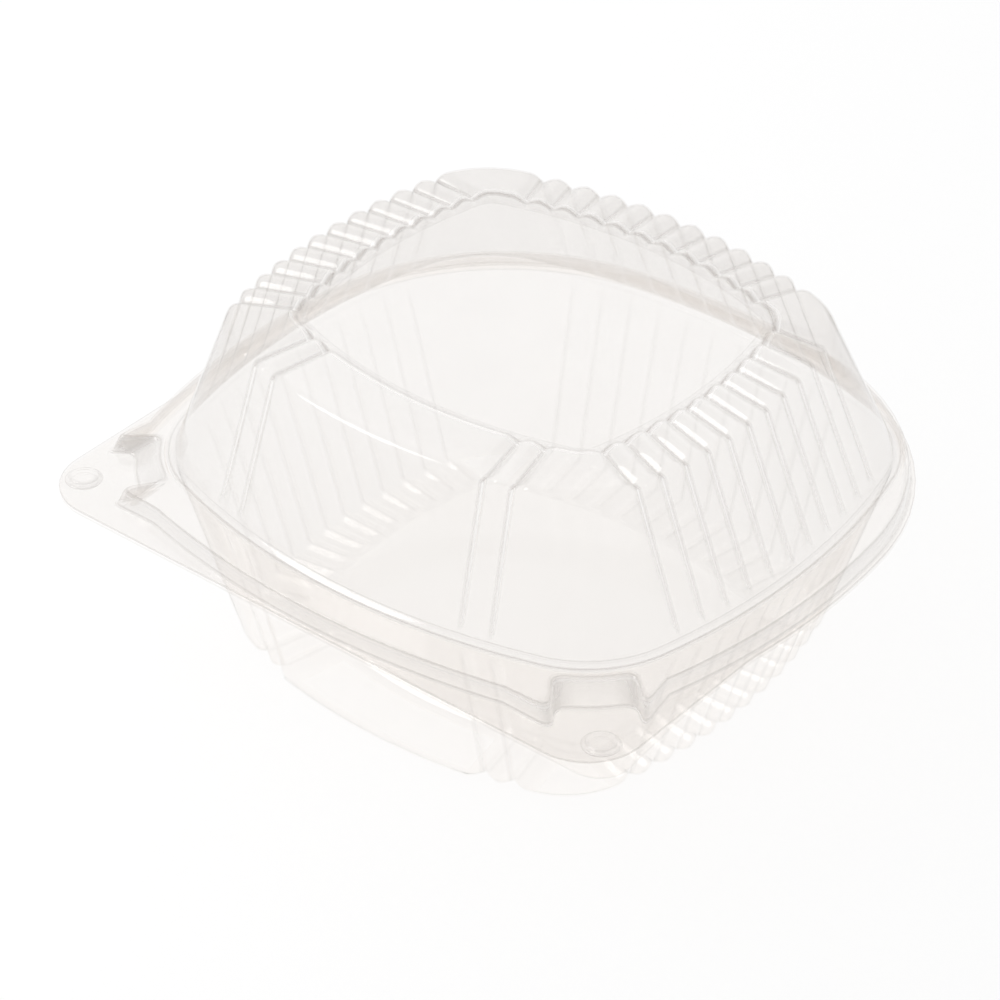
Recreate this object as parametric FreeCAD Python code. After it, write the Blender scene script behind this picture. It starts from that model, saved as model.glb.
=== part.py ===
import FreeCAD, Part
import math
import os

# Clear hinged pack, closed. Sizes in millimetres: X runs along the hinge, the front faces -Y,
# Z is up from the table. The base is the lower shell, the lid nests over its rim.

# Sheet and fits
sheet = 0.35
nest_gap = 0.4             # between the nested rims of base and lid
hinge_gap = 0.15           # from the fold line to the edge of each flange

# Heights
pack_height = 76.0
flange_level = 39.4        # top of the lid's flange
ring_height = 3.9          # raised ring above the flange
bead_height = 0.9          # step from the ring up to the foot of the dome's wall
panel_step = 1.4           # depth of the sunk panels, and of the grooves that run into them
border_fall = 0.3          # drop of the lid's border from the panel to the shoulder
wall_groove = 0.9          # depth of the grooves where they end above or below the rim
lid_groove_end = 3.0       # height of that end above the bead
base_groove_end = 7.0      # distance of that end below the base's ring

# Rim in plan: foot of the dome's wall, then how far the raised ring reaches beyond it
rim_half_x, rim_half_y = 68.6, 63.7
rim_radius = 150.0
rim_corner = 26.2
bead_run = 1.7
ring_side, ring_ahead, ring_behind = 5.8, 7.3, 5.6
ring_radius_side, ring_radius_end = 156.0, 190.0
ring_front_corner, ring_rear_corner = 31.5, 56.0
skirt_run = 0.5            # draft of the ring's outer wall
lip_run = 0.9              # flange beyond that wall at the sides
base_lip_inset = 1.2       # top of the base's wall, inwards of the rim

# Flange in plan: front tabs and hinge tab, measured from the raised ring
tab_inset, tab_reach = 0.3, 1.2                # tab's side inwards of the ring's, its front beyond it
tab_radius = 13.0
pull_reach, pull_tab_radius = 1.8, 7.0         # the base's right tab, for lifting the lid off
hinge_reach = 2.9          # from the ring to the fold
hinge_half = 26.0
hinge_slope = 6.0

# Channel through the ring behind each front tab, and the button on the tab
channel_turn = 47.5        # direction of the channel, degrees from X
channel_half = 7.9
channel_flare = 1.1        # how much wider it is at its outer end
slope_top, slope_foot = 1.9, 7.0               # its slope starts and ends so far beyond the rim
channel_end_top, channel_end_foot = 12.0, 13.6 # and its side walls end
button_side, button_ahead = 6.1, 8.8            # its middle from the tab's side and front
button_radius = 3.8
button_height, button_slope = 1.0, 0.9

# Sunk panel in plan
panel_half_x, panel_half_y = 41.9, 37.0
panel_radius = 105.0
panel_corner = 6.0
step_in, step_out = 0.9, 1.4

# Border round the panel, up to the shoulder: lid and foot of the base
lid_border_x, lid_border_front, lid_border_back = 54.0, 50.9, 47.4
foot_border_x, foot_border_y = 52.6, 50.6
border_radius = 124.0
lid_border_corner, foot_border_corner = 19.5, 16.5
shoulder_radius = 2.7

# Grooves: outermost one inwards of the panel's side, and how much wider they stand further out
side_margin, back_margin, front_margin = 8.75, 11.15, 11.1
groove_count = 11          # on the sides and the back; the front has two at each end
front_pitch = 5.7
floor_ratio, shoulder_ratio, rim_ratio = 0.96, 1.1, 1.17

# Raised field on the base's front wall
field_half, field_edge = 24.0, 3.5
field_low, field_top = 17.5, 20.0
field_rise = 1.1

# Facets
corner_facets = 6
side_facets = 6
button_facets = 12

RIGHT, BACK, LEFT, FRONT = range(4)
QUARTER = math.pi / 2
ring_level = flange_level + ring_height
ring_half_x = rim_half_x + ring_side
ring_front, ring_back = rim_half_y + ring_ahead, rim_half_y + ring_behind
tab_half, tab_front = ring_half_x - tab_inset, ring_front + tab_reach
pull_tab_half = tab_half + pull_reach
hinge_line = ring_back + hinge_reach
button_x, button_y = tab_half - button_side, tab_front - button_ahead
side_pitch = 2 * (panel_half_y - side_margin) / (groove_count - 1)
back_pitch = 2 * (panel_half_x - back_margin) / (groove_count - 1)
groove_place = 1 / 3       # facet line beside each groove, in pitches


class Outline:
    """Rounded square with bowed sides; the middle of its length is shifted along Y."""

    def __init__(self, half_x, front, back, side_radius, end_radius, corner):
        self.half_x, self.front, self.back = half_x, front, back
        self.side_radius, self.end_radius, self.corner = side_radius, end_radius, corner
        self.shift = (back - front) / 2
        self.side_x = half_x - side_radius
        self.end_y = (front + back) / 2 - end_radius
        self.corner_x, self.corner_y = arcs_meet(self.side_x, side_radius - corner,
                                                 self.end_y, end_radius - corner)
        self.side_turn = math.atan2(self.corner_y, self.corner_x - self.side_x)
        self.end_turn = math.atan2(self.corner_x, self.corner_y - self.end_y)

    def sizes(self):
        return (self.half_x, self.front, self.back, self.side_radius, self.end_radius, self.corner)

    def grown(self, distance):
        """The same outline further out."""
        return Outline(*[size + distance for size in self.sizes()])

    def towards(self, other, share):
        """An outline part of the way to another one."""
        return Outline(*[a + (b - a) * share for a, b in zip(self.sizes(), other.sizes())])

    def side_arc(self, side):
        """Centre, radius and half angle of one bowed side."""
        sign = 1 if side in (RIGHT, BACK) else -1
        if side in (RIGHT, LEFT):
            return (sign * self.side_x, self.shift), self.side_radius, self.side_turn
        return (0.0, sign * self.end_y + self.shift), self.end_radius, self.end_turn

    def corner_centre(self, side):
        """Centre of the round corner that follows a side, counterclockwise."""
        sign_x = 1 if side in (RIGHT, FRONT) else -1
        sign_y = 1 if side in (RIGHT, BACK) else -1
        return sign_x * self.corner_x, sign_y * self.corner_y + self.shift

    def turn_at(self, side, along):
        """Angle from a side's middle at an arc length, counterclockwise, corners included."""
        centre, radius, turn = self.side_arc(side)
        past = max(0.0, abs(along) - radius * turn)
        return math.copysign((abs(along) - past) / radius + past / self.corner, along)

    def point(self, side, angle):
        """Point and outward direction at an angle from a side's middle, counterclockwise."""
        centre, radius, turn = self.side_arc(side)
        if abs(angle) > turn:
            centre = self.corner_centre(side if angle > 0 else (side - 1) % 4)
            radius = self.corner
        way = (math.cos(angle + side * QUARTER), math.sin(angle + side * QUARTER))
        return (centre[0] + radius * way[0], centre[1] + radius * way[1]), way

    def corner_angles(self, side, first, last, count):
        """Evenly spaced angles in the corner after a side, between two stations in use."""
        first = max(first, self.side_arc(side)[2])
        last = QUARTER + min(last, -self.side_arc((side + 1) % 4)[2])
        return [first + (last - first) * (k + 0.5) / count for k in range(count)]


def arcs_meet(side_x, side_radius, end_y, end_radius):
    """Where a circle centred on X at side_x meets one centred on Y at end_y, in the +X +Y quarter."""
    gap = math.hypot(side_x, end_y)
    along = (side_radius ** 2 - end_radius ** 2 + gap ** 2) / (2 * gap)
    off = math.sqrt(side_radius ** 2 - along ** 2)
    ux, uy = -side_x / gap, end_y / gap
    return side_x + ux * along - uy * off, uy * along + ux * off


def arc(centre, radius, start, facets):
    """Points of a quarter circle, counterclockwise from a direction in degrees."""
    turns = [math.radians(start + 90 * k / facets) for k in range(facets + 1)]
    return [(centre[0] + radius * math.cos(t), centre[1] + radius * math.sin(t)) for t in turns]


def at_level(points, level):
    return [(x, y, level) for x, y in points]


# Flat facets and solids

def facet(*points):
    """Flat face through its corners, without repeated ones."""
    kept = [p for i, p in enumerate(points) if math.dist(p, points[i - 1]) > 1e-6]
    if len(kept) < 3:
        return []
    return [Part.Face(wire(kept))]


def wire(row):
    return Part.makePolygon([FreeCAD.Vector(*p) for p in row + row[:1]])


def plate(outer, *holes):
    """Flat face inside one row, with other rows cut out."""
    wires = [wire(row) for row in (outer,) + holes]
    return Part.makeFace(wires, "Part::FaceMakerBullseye")


def is_flat(a, b, c, d):
    ab, ac, ad = [FreeCAD.Vector(*p) - FreeCAD.Vector(*a) for p in (b, c, d)]
    return abs(ab.cross(ac).dot(ad)) < 1e-9


def strip(lower, upper):
    """Facets between two rows with the same stations, split along the shorter diagonal."""
    faces = []
    for i in range(len(lower)):
        a, b, c, d = lower[i - 1], lower[i], upper[i], upper[i - 1]
        if is_flat(a, b, c, d):
            faces += facet(a, b, c, d)
        elif math.dist(a, c) <= math.dist(b, d):
            faces += facet(a, b, c) + facet(a, c, d)
        else:
            faces += facet(a, b, d) + facet(b, c, d)
    return faces


def solid(faces):
    """Closed solid from faces that meet edge to edge."""
    shell = Part.makeShell(faces)
    shell.sewShape()
    body = Part.makeSolid(shell)
    if body.Volume < 0:
        body.reverse()
    return body


# Grooved rows of the dome and of the tray

def groove_places(side):
    """Grooves of one side, in pitches from its middle."""
    if side == FRONT:
        outer = (panel_half_x - front_margin) / front_pitch
        return [-outer, 1 - outer, outer - 1, outer]
    return [k - (groove_count - 1) / 2 for k in range(groove_count)]


def facet_places(side):
    """Facet lines of one side, in pitches from its middle."""
    grooves = groove_places(side)
    places = [grooves[0] - groove_place]
    for first, second in zip(grooves, grooves[1:]):
        places += [first, first + groove_place]
        plain = second - first - 2 * groove_place
        if plain > 1:
            places += [first + groove_place + plain * k / side_facets for k in range(1, side_facets)]
        places.append(second - groove_place)
    return places + [grooves[-1], grooves[-1] + groove_place]


def crest(side, place):
    """0 at a groove's bottom, 1 on the crest between grooves and on plain stretches."""
    nearest = min(abs(place - groove) for groove in groove_places(side))
    return 1 - max(0.0, 1 - 2 * nearest) ** 2


def pitch(side):
    return (side_pitch, back_pitch, side_pitch, front_pitch)[side]


def field_share(place):
    """1 inside the raised field of the front wall, 0 beside it."""
    beyond = abs(place * front_pitch * shoulder_ratio) - field_half
    return min(1.0, max(0.0, 1 - beyond / field_edge))


def grooved_row(outline, level, tilt, depth, ratio, inset, field=0.0):
    """One row of points. tilt is the rise of the outward direction in degrees, depth that of the
    grooves, inset the distance of the sheet's inner face from its outer one."""
    run, rise = math.cos(math.radians(tilt)), math.sin(math.radians(tilt))
    row = []
    for side in (RIGHT, BACK, LEFT, FRONT):
        stations = []
        turns = [outline.turn_at(side, place * pitch(side) * ratio) for place in facet_places(side)]
        for place, turn in zip(facet_places(side), turns):
            push = -depth * (1 - crest(side, place)) - inset
            if side == FRONT:
                push += field * field_share(place)
            stations.append((turn, push))
        after = (side + 1) % 4
        next_turn = outline.turn_at(after, facet_places(after)[0] * pitch(after) * ratio)
        stations += [(turn, -inset) for turn in
                     outline.corner_angles(side, turns[-1], next_turn, corner_facets)]
        for turn, push in stations:
            (x, y), way = outline.point(side, turn)
            row.append((x + way[0] * run * push, y + way[1] * run * push, level + rise * push))
    return row


def panel_rows(level, facing, inset):
    """Floor and upper edge of the sunk panel; facing is 1 where it is seen from above, else -1."""
    panel = Outline(panel_half_x, panel_half_y, panel_half_y, panel_radius, panel_radius, panel_corner)
    floor = grooved_row(panel.grown(-step_in), level - facing * panel_step, 90 * facing, 0.0,
                        floor_ratio, inset)
    edge = grooved_row(panel.grown(step_out), level, 90 * facing, panel_step, 1.0, inset)
    return [floor, edge]


def shoulder_rows(border, level, facing, lean, inset, field=0.0):
    """Rows round the shoulder, from the border to the wall, which leans by so many degrees."""
    rows = []
    for share in (0.0, 0.5, 1.0):
        turn = (90 - lean) * share
        run = shoulder_radius * math.sin(math.radians(turn))
        fall = shoulder_radius * (1 - math.cos(math.radians(turn)))
        rows.append(grooved_row(border.grown(run), level - facing * fall, facing * (90 - turn),
                                panel_step, shoulder_ratio, inset, field * share))
    return rows


class Wall:
    """Straight wall from a border's shoulder to an outline at another level."""

    def __init__(self, border, level, end, end_level):
        rise = abs(end_level - level) - shoulder_radius
        spread = (end.half_x - border.half_x + (end.front + end.back - border.front - border.back) / 2) / 2
        self.lean = math.degrees(math.atan2(spread - shoulder_radius, rise))
        facing = 1 if level > end_level else -1
        angle = math.radians(self.lean)
        self.start = border.grown(shoulder_radius * math.cos(angle))
        self.start_level = level - facing * shoulder_radius * (1 - math.sin(angle))
        self.end, self.end_level, self.facing = end, end_level, facing

    def row(self, level, depth, inset, field=0.0):
        """Row of the wall at one level."""
        share = (level - self.start_level) / (self.end_level - self.start_level)
        ratio = shoulder_ratio + (rim_ratio - shoulder_ratio) * share
        return grooved_row(self.start.towards(self.end, share), level, self.facing * self.lean,
                           depth, ratio, inset, field)


def rim_outline():
    return Outline(rim_half_x, rim_half_y, rim_half_y, rim_radius, rim_radius, rim_corner)


def lid_rows(inset):
    """Rows of one face of the lid, from the panel out to the raised ring."""
    border = Outline(lid_border_x, lid_border_front, lid_border_back, border_radius, border_radius,
                     lid_border_corner)
    rim = rim_outline()
    bead_level = ring_level + bead_height
    border_level = pack_height - border_fall
    wall = Wall(border, border_level, rim.grown(-bead_run), bead_level)
    rows = panel_rows(pack_height, 1, inset)
    rows += shoulder_rows(border, border_level, 1, wall.lean, inset)
    rows.append(wall.row(bead_level + lid_groove_end, wall_groove, inset))
    rows.append(wall.row(bead_level, 0.0, inset))
    rows.append(grooved_row(rim, ring_level, 90, 0.0, rim_ratio, inset))
    return rows


def base_rows(inset):
    """Rows of one face of the base, from the panel under the floor up to the raised ring."""
    border = Outline(foot_border_x, foot_border_y, foot_border_y, border_radius, border_radius,
                     foot_border_corner)
    lip_level = ring_level - nest_gap - 2 * sheet
    wall = Wall(border, 0.0, rim_outline().grown(-base_lip_inset), lip_level)
    rows = panel_rows(0.0, -1, inset)
    rows += shoulder_rows(border, 0.0, -1, wall.lean, inset, field_rise)
    share = (field_top - wall.start_level) / (lip_level - wall.start_level)
    depth = panel_step + (wall_groove - panel_step) * share
    rows.append(wall.row(field_low, depth, inset, field_rise))
    rows.append(wall.row(field_top, depth, inset))
    rows.append(wall.row(lip_level - base_groove_end, wall_groove, inset))
    lip = wall.row(lip_level, 0.0, inset)
    rows.append([(x, y, lip_level + inset) for x, y, z in lip])
    return rows


# Rim shared by base and lid: each face lies a certain drop below the lid's upper face

def ring_outline(corner):
    return Outline(ring_half_x, ring_front, ring_back, ring_radius_side, ring_radius_end, corner)


def side_points(first, last, side):
    """Evenly spaced points of one side, from where it starts on one outline to its end on another."""
    start, end = -first.side_arc(side)[2], last.side_arc(side)[2]
    turns = [start + (end - start) * k / side_facets for k in range(side_facets + 1)]
    return [first.point(side, turn)[0] if turn < 0 else last.point(side, turn)[0] for turn in turns]


def corner_points(outline, side):
    """Points inside one corner, without its two ends."""
    end = outline.side_arc((side + 1) % 4)[2]
    turns = outline.corner_angles(side, 0.0, -end, corner_facets)
    return [outline.point(side, turn)[0] for turn in turns]


def channel_points(side, slope_run, end_run):
    """Points round the channel at a front corner: its slope's edge between its two walls' ends."""
    rim = rim_outline()
    centre_x, centre_y = rim.corner_centre(side)
    angle = math.radians(channel_turn)
    way = (math.cos(angle) if side == FRONT else -math.cos(angle), -math.sin(angle))
    wide = channel_half + channel_flare
    points = []
    for off, run in ((-wide, end_run), (-channel_half, slope_run), (0.0, slope_run),
                     (channel_half, slope_run), (wide, end_run)):
        reach = math.sqrt((rim.corner + run) ** 2 - off ** 2)
        points.append((centre_x + way[0] * reach - way[1] * off, centre_y + way[1] * reach + way[0] * off))
    return points


def moved_in(points, distances):
    """A closed counterclockwise row with the edge after each point moved inwards by its distance."""
    row = []
    for i, (x, y) in enumerate(points):
        before, after = points[i - 1], points[(i + 1) % len(points)]
        first = math.atan2(y - before[1], x - before[0])
        second = math.atan2(after[1] - y, after[0] - x)
        turn = math.sin(second - first)
        a, b = distances[i - 1] / turn, distances[i] / turn
        row.append((x + a * math.cos(second) - b * math.cos(first),
                    y + a * math.sin(second) - b * math.sin(first)))
    return row


def ring_row(growth, level, slope_run, end_run, drop):
    """Row round the raised ring, cut by two channels, on a face that lies so far below the top one."""
    front = ring_outline(ring_front_corner).grown(growth)
    rear = ring_outline(ring_rear_corner).grown(growth)
    slope = math.atan2(ring_height, slope_foot - slope_top)
    channel = [drop] + 2 * [drop * math.tan(slope / 2)] + 2 * [drop]
    behind = side_points(front, rear, RIGHT) + corner_points(rear, RIGHT)
    behind += side_points(rear, rear, BACK) + corner_points(rear, BACK)
    behind += side_points(rear, front, LEFT)
    ahead = side_points(front, front, FRONT)
    points = behind + channel_points(LEFT, slope_run, end_run)
    points += ahead + channel_points(FRONT, slope_run, end_run)
    distances = len(behind) * [drop] + channel + len(ahead) * [drop] + channel
    return at_level(moved_in(points, distances), level - drop)


def flange_row(level, right_half, right_radius):
    """Edge of a flange: bowed sides, straight front with two rounded tabs, hinge tab behind."""
    front = ring_outline(ring_front_corner).grown(skirt_run + lip_run)
    rear = ring_outline(ring_rear_corner).grown(skirt_run + lip_run)
    right = [(max(x, tab_half) if y < 0 else x, y) for x, y in side_points(front, rear, RIGHT)]
    behind = corner_points(rear, RIGHT) + side_points(rear, rear, BACK)
    behind = [(x, y) for x, y in behind if x > hinge_half + hinge_slope]
    rear_right = right + behind + [(hinge_half, hinge_line - hinge_gap)]
    rear_left = [(-x, y) for x, y in reversed(rear_right)]
    left_tab = arc((tab_radius - tab_half, tab_radius - tab_front), tab_radius, 180, corner_facets)
    right_tab = arc((right_half - right_radius, right_radius - tab_front), right_radius, 270,
                    corner_facets)
    return at_level(rear_right + rear_left + left_tab + right_tab, level)


def button_rows(level, drop, sign):
    """Foot and top of the round button on a front tab."""
    turns = [2 * math.pi * k / button_facets for k in range(button_facets)]
    rows = []
    for radius, height in ((button_radius, 0.0), (button_radius - button_slope, button_height)):
        rows.append([(sign * button_x + (radius - drop) * math.cos(t),
                      -button_y + (radius - drop) * math.sin(t), level + height) for t in turns])
    return rows


def rim_faces(drop, inner_row, edge):
    """Faces of one side of the sheet, from the ring's inner row to the flange's edge."""
    top = ring_row(0.0, ring_level, slope_top, channel_end_top, drop)
    foot = ring_row(skirt_run, flange_level, slope_foot, channel_end_foot, drop)
    faces = [plate(top, inner_row)] + strip(foot, top)
    buttons = [button_rows(flange_level - drop, drop, sign) for sign in (-1, 1)]
    faces.append(plate(edge, foot, *[low for low, high in buttons]))
    for low, high in buttons:
        faces += strip(low, high) + [plate(high)]
    return faces


# The two shells

def shell(upper_rows, lower_rows, drop, right_half, right_radius):
    """Closed thin solid from the grooved rows of its upper and lower face."""
    faces = []
    edges = []
    for rows, depth in ((upper_rows, drop), (lower_rows, drop + sheet)):
        edge = flange_row(flange_level - depth, right_half, right_radius)
        faces.append(plate(rows[0]))
        for first, second in zip(rows, rows[1:]):
            faces += strip(first, second)
        faces += rim_faces(depth, rows[-1], edge)
        edges.append(edge)
    return solid(faces + strip(edges[1], edges[0]))


def make_lid():
    return shell(lid_rows(0.0), lid_rows(sheet), 0.0, tab_half, tab_radius)


def make_base():
    return shell(base_rows(sheet), base_rows(0.0), sheet + nest_gap, pull_tab_half, pull_tab_radius)


if __name__ == "__main__":
    os.makedirs("parts", exist_ok=True)
    for name, body in (("base_tray", make_base()), ("lid", make_lid())):
        print(name, "valid", body.isValid(), "faces", len(body.Faces), "volume", round(body.Volume))
        body.exportStep(f"parts/{name}.step")
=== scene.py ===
import math
import bmesh
import bpy
import numpy as np
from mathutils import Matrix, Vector


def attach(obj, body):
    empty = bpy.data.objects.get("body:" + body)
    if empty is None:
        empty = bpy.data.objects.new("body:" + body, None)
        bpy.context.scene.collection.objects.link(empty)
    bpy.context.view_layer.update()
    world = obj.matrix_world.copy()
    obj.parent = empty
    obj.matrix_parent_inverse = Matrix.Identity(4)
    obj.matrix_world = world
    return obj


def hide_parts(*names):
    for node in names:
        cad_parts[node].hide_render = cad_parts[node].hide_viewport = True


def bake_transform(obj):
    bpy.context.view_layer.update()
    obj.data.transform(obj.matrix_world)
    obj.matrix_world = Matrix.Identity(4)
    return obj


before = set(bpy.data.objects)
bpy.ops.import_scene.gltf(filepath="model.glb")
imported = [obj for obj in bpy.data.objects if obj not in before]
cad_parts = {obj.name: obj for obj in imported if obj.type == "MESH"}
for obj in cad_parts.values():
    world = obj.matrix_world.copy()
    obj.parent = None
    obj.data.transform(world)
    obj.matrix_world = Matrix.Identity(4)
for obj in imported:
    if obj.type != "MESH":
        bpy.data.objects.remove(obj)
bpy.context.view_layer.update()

mm = 0.001

# All sizes are in millimetres: X along the hinge, front at -Y, table at Z = 0
sheet = {
    "thickness": 0.35,
    "nestGap": 0.4,          # between the nested rims
    "packHeight": 76.0,
    "flangeLevel": 39.4,     # top of the lid's flange
    "ringHeight": 3.9,
    "foldLength": 0.7,       # the flanges stop this far before the fold
    "sharpAngle": 50,
}
right, back, left, front = range(4)
ringLevel = sheet["flangeLevel"] + sheet["ringHeight"]


# A rounded square with bowed sides
class Outline:
    def __init__(self, halfX, ahead, behind, bowX, bowY, corner):
        self.sizes = [halfX, ahead, behind, bowX, bowY, corner]
        self.shift = (behind - ahead) / 2
        self.sideX, self.endY = halfX - bowX, (ahead + behind) / 2 - bowY
        self.bowX, self.bowY, self.corner = bowX, bowY, corner
        gap = math.hypot(self.sideX, self.endY)
        along = ((bowX - corner) ** 2 - (bowY - corner) ** 2 + gap ** 2) / (2 * gap)
        off = math.sqrt((bowX - corner) ** 2 - along ** 2)
        ux, uy = -self.sideX / gap, self.endY / gap
        self.cornerX, self.cornerY = self.sideX + ux * along - uy * off, uy * along + ux * off
        self.turns = [math.atan2(self.cornerY, self.cornerX - self.sideX),
                      math.atan2(self.cornerX, self.cornerY - self.endY)] * 2

    def grown(self, distance):
        return Outline(*[size + distance for size in self.sizes])

    def towards(self, other, share):
        return Outline(*[a + (b - a) * share for a, b in zip(self.sizes, other.sizes)])

    def cornerCentre(self, side):
        signX, signY = (1 if side in (right, front) else -1), (1 if side in (right, back) else -1)
        return signX * self.cornerX, signY * self.cornerY + self.shift

    def turnAt(self, side, along):
        radius = self.bowX if side in (right, left) else self.bowY
        past = max(0.0, abs(along) - radius * self.turns[side])
        return math.copysign((abs(along) - past) / radius + past / self.corner, along)

    def point(self, side, angle):
        if abs(angle) > self.turns[side]:
            centre, radius = self.cornerCentre(side if angle > 0 else (side - 1) % 4), self.corner
        else:
            sign = 1 if side in (right, back) else -1
            if side in (right, left):
                centre, radius = (sign * self.sideX, self.shift), self.bowX
            else:
                centre, radius = (0.0, sign * self.endY + self.shift), self.bowY
        way = math.cos(angle + side * math.pi / 2), math.sin(angle + side * math.pi / 2)
        return centre[0] + radius * way[0], centre[1] + radius * way[1], way


def evenly(start, end, count):
    return [start + (end - start) * k / (count - 1) for k in range(count)]


grooves = {
    "pitches": [5.65, 6.15, 5.65, 5.7],        # right, back, left, front, at the panel
    "count": 11, "frontInner": 4.4, "frontOuter": 5.4,
    "cusp": 0.06, "line": 0.13,                # softness of a bottom, and width of the painted shade line drawn along it, in pitches
    "floorRatio": 0.96, "shoulderRatio": 1.1, "rimRatio": 1.17,
    "places": [0, 0.04, 0.08, 0.13, 0.2, 0.29, 0.39, 0.5],    # stations beside a groove, in pitches
    "windowEnd": 3.6, "windowStations": 17,    # stations across the smooth front
    "cornerStations": 14,
    "runOut": (0.8, 0.6, 0.4, 0.2),            # rows over which the grooves die out
}


def grooveList(side):
    if side == front:
        inner, outer = grooves["frontInner"], grooves["frontOuter"]
        return [-outer, -inner, inner, outer]
    return [k - (grooves["count"] - 1) / 2 for k in range(grooves["count"])]


# Stations of one side, closer together near the grooves
def stationList(side):
    near = grooves["places"]
    places = set()
    for groove in grooveList(side):
        places.update(round(groove + sign * offset, 4) for sign in (-1, 1) for offset in near)
    if side == front:
        places.update(evenly(-grooves["windowEnd"], grooves["windowEnd"], grooves["windowStations"]))
    return sorted(places)


stations = [stationList(side) for side in range(4)]


def crest(side, place):
    nearest = min(abs(place - groove) for groove in grooveList(side))
    nearest = math.hypot(nearest, grooves["cusp"]) - grooves["cusp"]
    return 1 - max(0.0, 1 - 2 * nearest) ** 2


crests = [[crest(side, place) for place in stations[side]] for side in range(4)]


def smoothStep(value):
    value = min(1.0, max(0.0, value))
    return value * value * (3 - 2 * value)


def fieldShare(place):
    beyond = abs(place * grooves["pitches"][front] * grooves["shoulderRatio"]) - tray["fieldHalf"]
    return smoothStep(1 - beyond / tray["fieldEdge"])


def lineShare(side, place):
    nearest = min(abs(place - groove) for groove in grooveList(side))
    return max(0.0, 1 - nearest / grooves["line"])


lines = [[lineShare(side, place) for place in stations[side]] for side in range(4)]


# One row of points round a shell: tilt is the rise of its outward direction in degrees. The fourth
# number of a point is the painted shade drawn along a fold there, the fifth the painted highlight.
def groovedRow(outline, level, tilt, depth, ratio, inset, field=0.0, glint=0.0):
    run, rise = math.cos(math.radians(tilt)), math.sin(math.radians(tilt))
    cornerCount = grooves["cornerStations"]
    row = []
    for side in range(4):
        pitch = grooves["pitches"][side] * ratio
        turns = [outline.turnAt(side, place * pitch) for place in stations[side]]
        pushes = [-depth * (1 - crests[side][k]) - inset for k in range(len(turns))]
        if side == front and field:
            pushes = [push + field * fieldShare(place) for push, place in zip(pushes, stations[side])]
        after = (side + 1) % 4
        nextTurn = outline.turnAt(after, stations[after][0] * grooves["pitches"][after] * ratio)
        first = max(turns[-1], outline.turns[side])
        last = math.pi / 2 + min(nextTurn, -outline.turns[after])
        turns += [first + (last - first) * (k + 0.5) / cornerCount for k in range(cornerCount)]
        pushes += [-inset] * cornerCount
        # Painted shade along each groove bottom, stronger where the groove is deeper
        paintedLineShares = [line * depth / panel["depth"] for line in lines[side]] + [0] * cornerCount
        for turn, push, fold in zip(turns, pushes, paintedLineShares):
            x, y, way = outline.point(side, turn)
            row.append((x + way[0] * run * push, y + way[1] * run * push, level + rise * push,
                        fold * (1 - glint), fold * glint))
    return np.array(row)


rounding = {
    "steps": 6, "reach": 0.48,                 # longest share of an edge that a curve takes
    "darkAt": 1.0, "brightAt": 2.4,            # where a crease's painted shade and painted highlight lie, in thirds of its curve
    "brightShare": 0.5,
}


# Rows with every corner rounded over its own length, with a painted shade line and a painted
# highlight drawn there by its own share
def rounded(rows, lengths, folds):
    result = [rows[0]]
    for before, here, after, length, fold in zip(rows, rows[1:], rows[2:], lengths[1:], folds[1:]):
        if length == 0:
            result.append(here)
            continue
        ends = []
        for other in (before, after):
            away = other - here
            reach = np.linalg.norm(away[:, :3], axis=1, keepdims=True)
            ends.append(here + away * np.minimum(rounding["reach"], length / np.maximum(reach, 1e-9)))
        for k in range(rounding["steps"] + 1):
            t = k / rounding["steps"]
            dark = fold * max(0, 1 - abs(3 * t - rounding["darkAt"]))
            bright = rounding["brightShare"] * fold * max(0, 1 - abs(3 * t - rounding["brightAt"]))
            row = (1 - t) ** 2 * ends[0] + 2 * t * (1 - t) * here + t * t * ends[1]
            row[:, 3] = np.maximum(row[:, 3], dark)
            row[:, 4] = np.maximum(row[:, 4], bright)
            result.append(row)
    return result + [rows[-1]]


panel = {
    "halfX": 41.9, "halfY": 37.0, "bow": 105.0, "corner": 6.0, "stepIn": 0.9, "stepOut": 1.4,
    "depth": 1.4, "innerLoop": 1.6,
    # The last two numbers are the strengths of the painted shade lines, each with a painted highlight
    # beside it, along the step's floor and edge curves
    "softFloor": 0.6, "softEdge": 1.2, "floorPaintedLine": 0.5, "edgePaintedLine": 1.3,
}


def panelRows(level, facing, inset):
    outline = Outline(panel["halfX"], panel["halfY"], panel["halfY"], panel["bow"], panel["bow"],
                      panel["corner"])
    low, high = outline.grown(-panel["stepIn"]), outline.grown(panel["stepOut"])
    floor, ratio = level - facing * panel["depth"], grooves["floorRatio"]
    return [groovedRow(low.grown(-panel["innerLoop"]), floor, 90 * facing, 0, ratio, inset),
            groovedRow(low, floor, 90 * facing, 0, ratio, inset),
            groovedRow(high, level, 90 * facing, panel["depth"], 1.0, inset)]


def borderOutline(part):
    return Outline(part["borderX"], part["borderFront"], part["borderBack"], part["bow"], part["bow"],
                   part["corner"])


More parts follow.
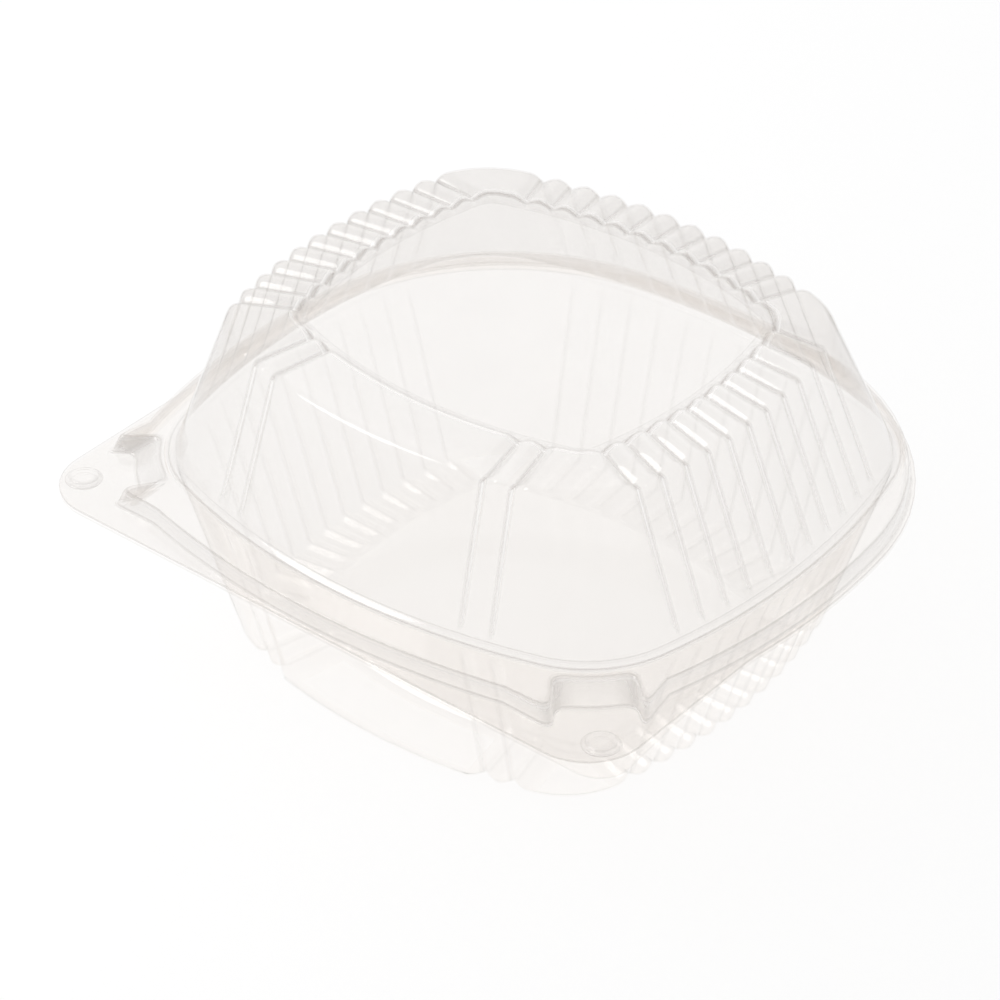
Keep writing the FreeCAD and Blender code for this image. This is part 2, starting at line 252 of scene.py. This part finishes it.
# A shell's shoulder and wall, down or up to where the wall meets the rim
def wallRows(part, level, end, endLevel, facing, inset, levels):
    border = borderOutline(part)
    spread = (end.sizes[0] - border.sizes[0]
              + (end.sizes[1] + end.sizes[2] - border.sizes[1] - border.sizes[2]) / 2) / 2
    radius = part["shoulder"]
    lean = math.degrees(math.atan2(spread - radius, abs(endLevel - level) - radius))
    rows = []
    for share in evenly(0.0, 1.0, part["shoulderRows"]):
        angle = math.radians((90 - lean) * share)
        rows.append(groovedRow(border.grown(radius * math.sin(angle)),
                               level - facing * radius * (1 - math.cos(angle)),
                               facing * (90 - (90 - lean) * share), panel["depth"],
                               grooves["shoulderRatio"], inset, part.get("fieldRise", 0) * share ** 2,
                               part["wallGlint"] * smoothStep(share * 2 - 1)))
    start = border.grown(radius * math.cos(math.radians(lean)))
    startLevel = level - facing * radius * (1 - math.sin(math.radians(lean)))
    for height, depth, field in levels:
        share = (height - startLevel) / (endLevel - startLevel)
        ratio = grooves["shoulderRatio"] + (grooves["rimRatio"] - grooves["shoulderRatio"]) * share
        rows.append(groovedRow(start.towards(end, share), height, facing * lean, depth, ratio, inset,
                               field, part["wallGlint"]))
    return rows


rim = {
    "halfX": 68.6, "halfY": 63.7, "bow": 150.0, "corner": 26.2,
    "beadRun": 1.7, "beadHeight": 0.9,
    "ringHalfX": 74.4, "ringFront": 71.0, "ringBack": 69.3, "ringBowX": 156.0, "ringBowY": 190.0,
    "frontCorner": 31.5, "rearCorner": 56.0, "skirtRun": 0.5, "lipRun": 0.9,
    "plateauEdge": 1.0, "lipEdge": 0.45,       # where the ring's two roundings start
    "softTop": 1.3, "softSkirt": 0.8, "sideStations": 25, "cornerStations": 12,
    # The last five are painted shade lines at the bead, foot, ring top, skirt and cut edge; all but
    # the cut edge's have a painted highlight beside them
    "beadPaintedLine": 0.5, "footPaintedLine": 1.0, "topPaintedLine": 0.8, "skirtPaintedLine": 0.8, "cutPaintedLine": 0.8,
}


def rimOutline():
    return Outline(rim["halfX"], rim["halfY"], rim["halfY"], rim["bow"], rim["bow"], rim["corner"])


lid = {
    "borderX": 54.0, "borderFront": 50.9, "borderBack": 47.4, "bow": 124.0, "corner": 19.5,
    "borderFall": 0.3, "shoulder": 2.7, "shoulderRows": 9, "taperStart": 4.0, "wallRows": 6,
    "groove": 0.9, "grooveEnd": 3.0,
    "footRun": 0.8, "softBead": 0.6, "softFoot": 0.7, "wallGlint": 0.8,
    "paintedCreaseLines": (1.0, 0.25),                    # how strongly the upper and the lower skin show the painted crease lines
}


def lidRows(inset):
    outline = rimOutline()
    beadLevel = ringLevel + rim["beadHeight"]
    level = sheet["packHeight"] - lid["borderFall"]
    taperLevel, grooveStart = level - lid["taperStart"], beadLevel + lid["grooveEnd"]
    levels = []
    for height in evenly(taperLevel, grooveStart, lid["wallRows"]):
        share = (taperLevel - height) / (taperLevel - grooveStart)
        levels.append((height, panel["depth"] + (lid["groove"] - panel["depth"]) * share, 0))
    for share in grooves["runOut"]:
        levels.append((beadLevel + lid["grooveEnd"] * share, lid["groove"] * smoothStep(share), 0))
    levels.append((beadLevel, 0, 0))
    rows = panelRows(sheet["packHeight"], 1, inset)
    rows += wallRows(lid, level, outline.grown(-rim["beadRun"]), beadLevel, 1, inset, levels)
    for distance in (0.0, lid["footRun"]):
        rows.append(groovedRow(outline.grown(distance), ringLevel, 90, 0, grooves["rimRatio"], inset))
    between = [0] * (len(rows) - 6)
    lengths = [0, panel["softFloor"], panel["softEdge"]] + between
    folds = [0, panel["floorPaintedLine"], panel["edgePaintedLine"]] + between
    return rounded(rows, lengths + [lid["softBead"], lid["softFoot"], 0],
                   folds + [rim["beadPaintedLine"], rim["footPaintedLine"], 0])


tray = {
    "borderX": 52.6, "borderFront": 50.6, "borderBack": 50.6, "bow": 124.0, "corner": 16.5,
    "lipInset": 1.2, "lipRun": 0.6, "softLip": 1.0,
    "shoulder": 2.7, "shoulderRows": 9, "taperStart": 4.0, "wallRows": 5,
    # Below: a painted highlight on the wall grooves, each skin's share of the painted crease lines,
    # and painted shade lines with highlights at the floor, edge and lip curves
    "groove": 0.9, "grooveEnd": 7.0, "wallGlint": 0.5, "paintedCreaseLines": (0.45, 1.0),
    "floorPaintedLine": 0.5, "edgePaintedLine": 0.6, "lipPaintedLine": 0.3,
    "fieldHalf": 24.0, "fieldEdge": 3.5, "fieldLow": 17.5, "fieldTop": 20.0, "fieldRise": 1.1,
    "fieldRows": (0.25, 0.5, 0.75, 1.0),
}


def trayRows(inset):
    outline = rimOutline()
    lipLevel = ringLevel - sheet["nestGap"] - 2 * sheet["thickness"]
    low, high, rise = tray["fieldLow"], tray["fieldTop"], tray["fieldRise"]
    grooveStart = lipLevel - tray["grooveEnd"]

    def depthAt(height):
        share = max(0, height - tray["taperStart"]) / (grooveStart - tray["taperStart"])
        return panel["depth"] + (tray["groove"] - panel["depth"]) * share

    count = tray["wallRows"]
    levels = [(height, depthAt(height), rise) for height in evenly(tray["taperStart"], low, count)]
    for share in tray["fieldRows"]:
        height = low + (high - low) * share
        levels.append((height, depthAt(height), rise * (1 - smoothStep(share))))
    levels += [(height, depthAt(height), 0) for height in evenly(high, grooveStart, count)[1:]]
    for share in grooves["runOut"] + (0.0,):
        levels.append((lipLevel - tray["grooveEnd"] * share, tray["groove"] * smoothStep(share), 0))
    rows = panelRows(0.0, -1, inset)
    rows += wallRows(tray, 0.0, outline.grown(-tray["lipInset"]), lipLevel, -1, inset, levels)
    rows[-1][:, 2] = lipLevel + inset
    outside = outline.grown(tray["lipRun"])
    rows.append(groovedRow(outside, lipLevel, -90, 0, grooves["rimRatio"], -inset))
    rows[-1][:, 2] = lipLevel + inset
    between = [0] * (len(rows) - 5)
    return rounded(rows, [0, panel["softFloor"], panel["softEdge"]] + between + [tray["softLip"], 0],
                   [0, tray["floorPaintedLine"], tray["edgePaintedLine"]] + between + [tray["lipPaintedLine"], 0])


# The raised ring of both shells, with a tight corner in front and a wide one behind
def ringOutline(corner, growth):
    return Outline(rim["ringHalfX"], rim["ringFront"], rim["ringBack"],
                   rim["ringBowX"], rim["ringBowY"], corner).grown(growth)


def ringOutlines(growth):
    return ringOutline(rim["frontCorner"], growth), ringOutline(rim["rearCorner"], growth)


def sidePoints(first, last, side):
    turns = evenly(-first.turns[side], last.turns[side], rim["sideStations"])
    return [(first if turn < 0 else last).point(side, turn)[:2] for turn in turns]


def cornerPoints(outline, side):
    first, last = outline.turns[side], math.pi / 2 - outline.turns[(side + 1) % 4]
    shares = [(k + 0.5) / rim["cornerStations"] for k in range(rim["cornerStations"])]
    return [outline.point(side, first + (last - first) * share)[:2] for share in shares]


channel = {
    "turn": 47.5, "half": 7.9, "flare": 1.1,
    "slopeTop": 1.9, "slopeFoot": 7.0, "endTop": 12.0, "endFoot": 13.6,
    "softening": [3.6, 2.6, 9.0, 2.6, 3.6],    # of its five corners in plan
    "paintedCreaseLines": [0.85, 1.0, 0.0, 1.0, 0.85],    # its walls get painted shade lines, its slope none
    "paintedLineFade": 4, "steps": 8, "reach": 0.45,
}


# The five corners of a channel in plan, from one end of its outer edge to the other
def channelPoints(side, slopeRun, endRun):
    outline = rimOutline()
    centreX, centreY = outline.cornerCentre(side)
    angle = math.radians(channel["turn"])
    way = (math.cos(angle) if side == front else -math.cos(angle), -math.sin(angle))
    narrow, wide = channel["half"], channel["half"] + channel["flare"]
    offs, runs = (-wide, -narrow, 0, narrow, wide), (endRun, slopeRun, slopeRun, slopeRun, endRun)
    points = []
    for off, run in zip(offs, runs):
        reach = math.sqrt((outline.corner + run) ** 2 - off ** 2)
        points.append((centreX + way[0] * reach - way[1] * off,
                       centreY + way[1] * reach + way[0] * off))
    return points


# A closed row with the edge after each point moved inwards by its distance
def movedIn(points, distances):
    row = []
    for i, (x, y) in enumerate(points):
        before, after = points[i - 1], points[(i + 1) % len(points)]
        first = math.atan2(y - before[1], x - before[0])
        second = math.atan2(after[1] - y, after[0] - x)
        turn = math.sin(second - first)
        a, b = distances[i - 1] / turn, distances[i] / turn
        row.append((x + a * math.cos(second) - b * math.cos(first),
                    y + a * math.sin(second) - b * math.sin(first)))
    return row


# A row with some of its corners drawn as curves of a given length. A point's third number,
# where it has one, is the painted shade line along its crease.
def softened(points, cuts):
    steps, reach = channel["steps"], channel["reach"]
    row = []
    for i, point in enumerate(points):
        if not cuts[i]:
            row.append(point)
            continue
        here = np.array(point)
        ends = []
        for other in (points[i - 1], points[(i + 1) % len(points)]):
            away = np.array(other) - here
            ends.append(here + away * min(reach, cuts[i] / np.linalg.norm(away[:2])))
        for k in range(steps + 1):
            t = k / steps
            row.append(tuple((1 - t) ** 2 * ends[0] + 2 * t * (1 - t) * here + t * t * ends[1]))
    return row


# Points at one level; the fourth number is a painted shade line, the fifth, a painted highlight, is
# left at nothing
def levelled(points, level, fold=0.0):
    return np.array([(point[0], point[1], level, max((fold, *point[2:])), 0.0) for point in points])


def ringRow(growth, level, slopeRun, endRun, drop, extra):
    ahead, behind = ringOutlines(growth)
    slope = math.atan2(sheet["ringHeight"], channel["slopeFoot"] - channel["slopeTop"])
    shift = drop * math.tan(slope / 2)
    moves = [drop, shift, shift, drop, drop]
    rear = sidePoints(ahead, behind, right) + cornerPoints(behind, right)
    rear += sidePoints(behind, behind, back) + cornerPoints(behind, back)
    rear += sidePoints(behind, ahead, left)
    fore = sidePoints(ahead, ahead, front)
    points = rear + channelPoints(left, slopeRun, endRun)
    points += fore + channelPoints(front, slopeRun, endRun)
    distances = [drop] * len(rear) + moves + [drop] * len(fore) + moves
    cuts = [0] * len(rear) + channel["softening"] + [0] * len(fore) + channel["softening"]
    # Painted shade lines along the channel's walls, on the rows at the ring's top and foot only
    walls = [0 if extra else paintedCreaseLine for paintedCreaseLine in channel["paintedCreaseLines"]]
    paintedCreaseLines = [0] * len(rear) + walls + [0] * len(fore) + walls
    moved = movedIn(points, [distance + extra for distance in distances])
    paintedLineShares = [(x, y, paintedCreaseLine) for (x, y), paintedCreaseLine in zip(moved, paintedCreaseLines)]
    row = levelled(softened(paintedLineShares, cuts), level - drop)
    row[:, 3] **= channel["paintedLineFade"]
    return row


def ringRows(drop):
    top = [0.0, ringLevel, channel["slopeTop"], channel["endTop"], drop]
    foot = [rim["skirtRun"], sheet["flangeLevel"], channel["slopeFoot"], channel["endFoot"], drop]
    rows = [ringRow(*top, rim["plateauEdge"]), ringRow(*top, 0.0),
            ringRow(*foot, 0.0), ringRow(*foot, -rim["lipEdge"])]
    return rounded(rows, [0, rim["softTop"], rim["softSkirt"], 0],
                   [0, rim["topPaintedLine"], rim["skirtPaintedLine"], 0])


tab = {
    "half": 74.1, "front": 72.2, "radius": 13.0, "pullHalf": 75.9, "pullRadius": 7.0,
    "hingeLine": 72.2, "hingeGap": 0.15, "hingeHalf": 26.0, "hingeSlope": 6.0, "hingeSoftening": 3.0,
    "buttonX": 68.0, "buttonY": 63.4, "buttonRadius": 3.8, "buttonHeight": 1.0, "buttonSlope": 0.9,
    "buttonSkirt": 0.5, "buttonTop": 0.9, "softButtonFoot": 0.4, "softButtonTop": 0.7,
    # The pair on the next line sets the painted shade lines, each with a painted highlight, at a
    # button's foot and top
    "buttonPaintedLines": (0.8, 0.4), "buttonSides": 40, "cutEdge": 0.3, "arcSteps": 12,
}


# A quarter round of a tab's outline
def arc(centreX, centreY, radius, start):
    count = tab["arcSteps"]
    turns = [math.radians(start + 90 * k / count) for k in range(count + 1)]
    return [(centreX + radius * math.cos(t), centreY + radius * math.sin(t)) for t in turns]


def flangeRow(level, rightHalf, rightRadius, inwards, fold):
    growth = rim["skirtRun"] + rim["lipRun"] - inwards
    ahead, behind = ringOutlines(growth)
    half = tab["half"] - inwards
    side = [(max(x, half) if y < 0 else x, y) for x, y in sidePoints(ahead, behind, right)]
    rear = cornerPoints(behind, right) + sidePoints(behind, behind, back)
    rear = [(x, y) for x, y in rear if x > tab["hingeHalf"] + tab["hingeSlope"]]
    line = tab["hingeLine"] - tab["hingeGap"] - sheet["foldLength"] - inwards
    rearRight = side + rear + [(tab["hingeHalf"], line)]
    rearLeft = [(-x, y) for x, y in reversed(rearRight)]
    plain = [0] * (len(rearRight) - 1)
    row = softened(rearRight + rearLeft, plain + [tab["hingeSoftening"]] * 2 + plain)
    radius = tab["radius"]
    row += arc(radius - tab["half"], radius - tab["front"], radius - inwards, 180)
    row += arc(rightHalf - rightRadius, rightRadius - tab["front"], rightRadius - inwards, 270)
    return levelled(row, level, fold)


def buttonRows(level, drop, sign):
    turns = [2 * math.pi * k / tab["buttonSides"] for k in range(tab["buttonSides"])]
    centreX, centreY = sign * tab["buttonX"], -tab["buttonY"]
    foot = tab["buttonRadius"] - drop
    top = foot - tab["buttonSlope"]
    rows = []
    for radius, height in ((foot + tab["buttonSkirt"], 0), (foot, 0), (top, tab["buttonHeight"]),
                           (top - tab["buttonTop"], tab["buttonHeight"])):
        circle = [(centreX + radius * math.cos(t), centreY + radius * math.sin(t)) for t in turns]
        rows.append(levelled(circle, level + height))
    return rounded(rows, [0, tab["softButtonFoot"], tab["softButtonTop"], 0],
                   [0, *tab["buttonPaintedLines"], 0])


# Points and faces of one closed sheet, with each point's painted shade and painted highlight
class Skin:
    def __init__(self):
        self.points, self.folds, self.glints, self.faces = [], [], [], []
        self.paintedLineShare = 1.0

    def row(self, points):
        start = len(self.points)
        self.points += [tuple(point[:3] * mm) for point in points]
        self.folds += [point[3] * self.paintedLineShare for point in points]
        self.glints += [point[4] * self.paintedLineShare for point in points]
        return list(range(start, len(self.points)))

    def strips(self, rows):
        indices = [self.row(row) for row in rows]
        for first, second in zip(indices, indices[1:]):
            self.join(first, second)
        return indices[0], indices[-1]

    def join(self, first, second):
        count = len(first)
        self.faces += [(first[k - 1], first[k], second[k], second[k - 1]) for k in range(count)]

    def fill(self, *loops):
        work = bmesh.new()
        edges, origin = [], {}
        for loop in loops:
            made = [work.verts.new(self.points[index]) for index in loop]
            origin.update({vert: index for vert, index in zip(made, loop)})
            edges += [work.edges.new((made[k - 1], made[k])) for k in range(len(made))]
        bmesh.ops.triangle_fill(work, use_beauty=True, edges=edges)
        self.faces += [tuple(origin[vert] for vert in face.verts) for face in work.faces]
        work.free()


# An upper and a lower skin joined at the cut edge; each shows the painted crease lines by its own
# share
def shellObject(name, upperRows, lowerRows, shares, drop, rightHalf, rightRadius):
    skin = Skin()
    edges = []
    depths = drop, drop + sheet["thickness"]
    for rows, depth, skin.paintedLineShare in zip((upperRows, lowerRows), depths, shares):
        inner, outer = skin.strips(rows)
        skin.fill(inner)
        ringInner, ringOuter = skin.strips(ringRows(depth))
        skin.fill(outer, ringInner)
        flangeRows = [flangeRow(sheet["flangeLevel"] - depth, rightHalf, rightRadius, inwards, fold)
                      for inwards, fold in ((tab["cutEdge"], 0.0), (0.0, rim["cutPaintedLine"]))]
        lip, edge = skin.strips(flangeRows)
        holes = []
        for sign in (-1, 1):
            foot, top = skin.strips(buttonRows(sheet["flangeLevel"] - depth, depth, sign))
            skin.fill(top)
            holes.append(foot)
        skin.fill(lip, ringOuter, *holes)
        edges.append(edge)
    skin.join(*edges)
    return meshObject(name, skin)


def meshObject(name, skin):
    mesh = bpy.data.meshes.new(name)
    mesh.from_pydata(skin.points, [], skin.faces)
    # Per-point painted shade lines and painted highlight lines, for the material
    mesh.attributes.new("paintedShadeLine", "FLOAT", "POINT").data.foreach_set("value", skin.folds)
    mesh.attributes.new("glintLine", "FLOAT", "POINT").data.foreach_set("value", skin.glints)
    work = bmesh.new()
    work.from_mesh(mesh)
    bmesh.ops.recalc_face_normals(work, faces=work.faces)
    openEdges = sum(not edge.is_manifold for edge in work.edges)
    work.to_mesh(mesh)
    work.free()
    mesh.polygons.foreach_set("use_smooth", [True] * len(mesh.polygons))
    mesh.set_sharp_from_angle(angle=math.radians(sheet["sharpAngle"]))
    piece = bpy.data.objects.new(name, mesh)
    bpy.context.collection.objects.link(piece)
    triangles = sum(len(polygon.vertices) - 2 for polygon in mesh.polygons)
    print(name, "triangles", triangles, "open edges", openEdges)
    return piece


# Shader nodes as Python expressions
class Link:
    def __init__(self, finish, socket):
        self.finish, self.socket = finish, socket

    def math(self, operation, first, second):
        return self.finish.node("Math", {"operation": operation}, {0: first, 1: second})

    def __add__(self, other):
        return self.math("ADD", self, other)

    def __rsub__(self, other):
        return self.math("SUBTRACT", other, self)

    def __mul__(self, other):
        return self.math("MULTIPLY", self, other)

    def __pow__(self, other):
        return self.math("POWER", self, other)

    __radd__, __rmul__ = __add__, __mul__


class Finish:
    def __init__(self, tree):
        self.tree = tree
        tree.nodes.clear()

    def node(self, kind, settings=None, inputs=None, output=0):
        made = self.tree.nodes.new("ShaderNode" + kind)
        for key, value in (settings or {}).items():
            setattr(made, key, value)
        for key, value in (inputs or {}).items():
            if isinstance(value, Link):
                self.tree.links.new(value.socket, made.inputs[key])
            else:
                made.inputs[key].default_value = value
        return Link(self, made.outputs[output]) if len(made.outputs) else None


def materialFinish(name):
    material = bpy.data.materials.new(name)
    material.use_nodes = True
    return material, Finish(material.node_tree)


clearPlastic = {
    "tint": (0.998, 0.991, 0.984, 1), "plainTint": (0.9965, 0.9945, 0.9925, 1),
    # Of the two colours below, the first is the haze's own grey, the second the painted highlight
    # drawn along grooves and creases
    "body": (0.42, 0.385, 0.36, 1), "bright": (0.98, 0.97, 0.96, 1),
    "glintShare": 1.25, "gloss": 1.0, "glossRoughness": 0.06, "refraction": 1.5,
    "waviness": 0.12, "waveDepth": 0.0004, "cloudScale": 70.0, "streaks": (1.0, 1.0, 0.25),
    "slantPower": 2.0, "edgePower": 6.0,
}
# How dense each sheet looks: even, in clouds, on slanting faces and at edges; its creases get painted
# shade lines and painted highlight lines
lidHaze = {"even": 0.10, "cloud": 0.045, "slant": 0.12, "edge": 0.14, "fold": 0.50, "glint": 0.8}
trayHaze = {"even": 0.006, "cloud": 0.014, "slant": 0.015, "edge": 0.07, "fold": 0.28, "glint": 0.5}


# A sheet is shaded where the view enters it. Where the view leaves it, and for light that falls
# through, it only tints.
def clearPlasticMaterial(name, haze):
    material, finish = materialFinish(name)
    place = finish.node("TexCoord", output="Object")
    streaks = finish.node("Mapping", {}, {"Vector": place, "Scale": clearPlastic["streaks"]})
    cloud = finish.node("TexNoise", {}, {"Vector": streaks, "Scale": clearPlastic["cloudScale"],
                                         "Detail": 1.0})
    bump = finish.node("Bump", {}, {"Strength": clearPlastic["waviness"],
                                    "Distance": clearPlastic["waveDepth"], "Height": cloud})
    facing = finish.node("LayerWeight", {}, {"Blend": 0.5}, output="Facing")
    folds = finish.node("Attribute", {"attribute_name": "paintedShadeLine"}, output="Fac")
    glints = finish.node("Attribute", {"attribute_name": "glintLine"}, output="Fac")
    # The painted shade lines and painted highlight lines, strongest where a face turns to the view
    paintedCreaseLines = haze["fold"] * folds + haze["glint"] * glints
    density = (haze["even"] + haze["cloud"] * cloud
               + haze["slant"] * facing ** clearPlastic["slantPower"]
               + haze["edge"] * facing ** clearPlastic["edgePower"] + (1 - facing) * paintedCreaseLines)
    clear = finish.node("BsdfTransparent", {}, {"Color": clearPlastic["tint"]})
    body = finish.node("BsdfDiffuse", {}, {"Color": clearPlastic["body"], "Normal": bump})
    # The painted highlight lines are a near-white diffuse drawn over the haze
    bright = finish.node("BsdfDiffuse", {}, {"Color": clearPlastic["bright"], "Normal": bump})
    solid = finish.node("MixShader", {}, {0: glints * clearPlastic["glintShare"], 1: body, 2: bright})
    milky = finish.node("MixShader", {}, {0: density, 1: clear, 2: solid})
    gloss = finish.node("BsdfGlossy", {}, {"Color": (1, 1, 1, 1), "Normal": bump,
                                           "Roughness": clearPlastic["glossRoughness"]})
    mirror = finish.node("Fresnel", {}, {"IOR": clearPlastic["refraction"], "Normal": bump})
    sheetFace = finish.node("MixShader", {}, {0: mirror * clearPlastic["gloss"], 1: milky, 2: gloss})
    plain = finish.node("BsdfTransparent", {}, {"Color": clearPlastic["plainTint"]})
    shadow = finish.node("LightPath", output="Is Shadow Ray")
    spread = finish.node("LightPath", output="Is Diffuse Ray")
    leaving = finish.node("NewGeometry", output="Backfacing")
    bare = shadow.math("MAXIMUM", shadow.math("MAXIMUM", shadow, spread), leaving)
    surface = finish.node("MixShader", {}, {0: bare, 1: sheetFace, 2: plain})
    finish.node("OutputMaterial", {}, {"Surface": surface})
    return material


print("shells")
thickness, gap = sheet["thickness"], sheet["nestGap"]
clearLid = clearPlasticMaterial("clearLidSheet", lidHaze)
clearTray = clearPlasticMaterial("clearTraySheet", trayHaze)
lidShell = shellObject("lidShell", lidRows(0.0), lidRows(thickness), lid["paintedCreaseLines"],
                       0.0, tab["half"], tab["radius"])
trayShell = shellObject("trayShell", trayRows(thickness), trayRows(0.0), tray["paintedCreaseLines"],
                        thickness + gap, tab["pullHalf"], tab["pullRadius"])
shells = (lidShell, "lid", "lid", clearLid), (trayShell, "base", "base_tray", clearTray)
for piece, body, node, material in shells:
    piece.data.materials.append(material)
    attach(piece, body)
    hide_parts(node)

print("fold")
# The hinge band carries an even painted shade line over its whole section
foldBand = {"half": 24.5, "bulge": 0.7, "across": 60, "round": 16, "paintedCreaseLine": 0.3, "bendShare": 0.7}


# The thin band that joins the two flanges behind: a half round in section
def foldStrip():
    high = sheet["flangeLevel"]
    low = high - 2 * thickness - gap
    line = tab["hingeLine"] - tab["hingeGap"] - sheet["foldLength"]
    middle, radius = (high + low) / 2, (high - low) / 2
    skin = Skin()
    outside, inside = [], []
    for k in range(foldBand["round"] + 1):
        turn = math.pi * k / foldBand["round"] - math.pi / 2
        outside.append((line + foldBand["bulge"] * math.cos(turn), middle + radius * math.sin(turn)))
        inside.append((line + (foldBand["bulge"] - thickness) * math.cos(turn),
                       middle + (radius - thickness) * math.sin(turn)))
    section = outside + inside[::-1]
    half, paintedCreaseLine = foldBand["half"], foldBand["paintedCreaseLine"]
    loops = [skin.row(np.array([(x, y, z, paintedCreaseLine, 0.0) for y, z in section]))
             for x in evenly(-half, half, foldBand["across"])]
    for first, second in zip(loops, loops[1:]):
        skin.join(first, second)
    count = len(outside)
    for loop in (loops[0], loops[-1]):
        pairs = list(zip(loop[:count], loop[count:][::-1]))
        skin.faces += [(a[0], b[0], b[1], a[1]) for a, b in zip(pairs, pairs[1:])]
    return meshObject("foldStrip", skin), middle, radius


strip, foldMiddle, foldRadius = foldStrip()
strip.data.materials.append(clearTray)
foldY, bend = tab["hingeLine"] * mm, foldRadius * foldBand["bendShare"]
(foldMiddle - bend) * mm
(foldMiddle + bend) * mm
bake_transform(strip)

print("studio")
studio = {
    "azimuth": 39.592, "elevation": 35.663, "distance": 856.43, "lens": 147.922,
    "target": (-5.482, -4.534, 29.98),
    "floor": (0.97, 0.97, 0.97, 1), "floorGrain": (0.96515, 0.96515, 0.96515, 1),
    "grainScale": 30.0, "floorHalf": 4, "ambient": 0.90, "aim": (0, 0, 0.03),
    "keyLamp": {"place": (-0.55, -0.35, 0.85), "size": 0.4, "power": 1.6},
    "backLamp": {"place": (-0.62, 0.75, 0.75), "size": 0.9, "power": 0.7},
}


def floorObject():
    material, finish = materialFinish("paleTable")
    place = finish.node("TexCoord", output="Object")
    grain = finish.node("TexNoise", {}, {"Vector": place, "Scale": studio["grainScale"],
                                        "Detail": 2.0})
    colour = finish.node("Mix", {"data_type": "RGBA"},
                         {"Factor": grain, 6: studio["floor"], 7: studio["floorGrain"]}, output=2)
    surface = finish.node("BsdfPrincipled", {}, {"Base Color": colour, "Roughness": 0.9,
                                                 "Specular IOR Level": 0.1})
    finish.node("OutputMaterial", {}, {"Surface": surface})
    mesh = bpy.data.meshes.new("table")
    half = studio["floorHalf"]
    corners = [(-half, -half, 0), (half, -half, 0), (half, half, 0), (-half, half, 0)]
    mesh.from_pydata(corners, [], [(0, 1, 2, 3)])
    mesh.materials.append(material)
    table = bpy.data.objects.new("table", mesh)
    bpy.context.collection.objects.link(table)


def whiteWorld():
    world = bpy.data.worlds.new("whiteRoom")
    world.use_nodes = True
    bpy.context.scene.world = world
    finish = Finish(world.node_tree)
    seen = finish.node("LightPath", output="Is Camera Ray")
    shiny = finish.node("LightPath", output="Is Glossy Ray")
    through = finish.node("LightPath", output="Is Transmission Ray")
    direct = seen.math("MAXIMUM", seen.math("MAXIMUM", seen, shiny), through)
    ambient = finish.node("Background", {}, {"Color": (1, 1, 1, 1), "Strength": studio["ambient"]})
    white = finish.node("Background", {}, {"Color": (1, 1, 1, 1), "Strength": 1.0})
    surface = finish.node("MixShader", {}, {0: direct, 1: ambient, 2: white})
    finish.node("OutputWorld", {}, {"Surface": surface})


def areaLamp(name):
    wanted = studio[name]
    data = bpy.data.lights.new(name, "AREA")
    data.shape, data.size, data.energy = "DISK", wanted["size"], wanted["power"]
    lamp = bpy.data.objects.new(name, data)
    lamp.location = wanted["place"]
    way = Vector(studio["aim"]) - Vector(wanted["place"])
    lamp.rotation_euler = way.to_track_quat("-Z", "Y").to_euler()
    bpy.context.collection.objects.link(lamp)


def photoCamera():
    azimuth, elevation = math.radians(studio["azimuth"]), math.radians(studio["elevation"])
    flat = math.cos(elevation)
    towards = Vector((math.sin(azimuth) * flat, -math.cos(azimuth) * flat, math.sin(elevation)))
    data = bpy.data.cameras.new("photoCamera")
    data.lens, data.sensor_width = studio["lens"], 36.0
    data.clip_start, data.clip_end = 0.05, 50.0
    camera = bpy.data.objects.new("photoCamera", data)
    camera.location = Vector(studio["target"]) * mm + towards * studio["distance"] * mm
    camera.rotation_euler = (-towards).to_track_quat("-Z", "Y").to_euler()
    bpy.context.collection.objects.link(camera)
    bpy.context.scene.camera = camera


floorObject()
whiteWorld()
areaLamp("keyLamp")
areaLamp("backLamp")
photoCamera()
scene = bpy.context.scene
scene.view_settings.view_transform = "Standard"
scene.cycles.transparent_max_bounces = 48    # enough for a view through every sheet and groove
scene.cycles.max_bounces, scene.cycles.diffuse_bounces, scene.cycles.glossy_bounces = 6, 2, 2
scene.cycles.caustics_reflective = scene.cycles.caustics_refractive = False
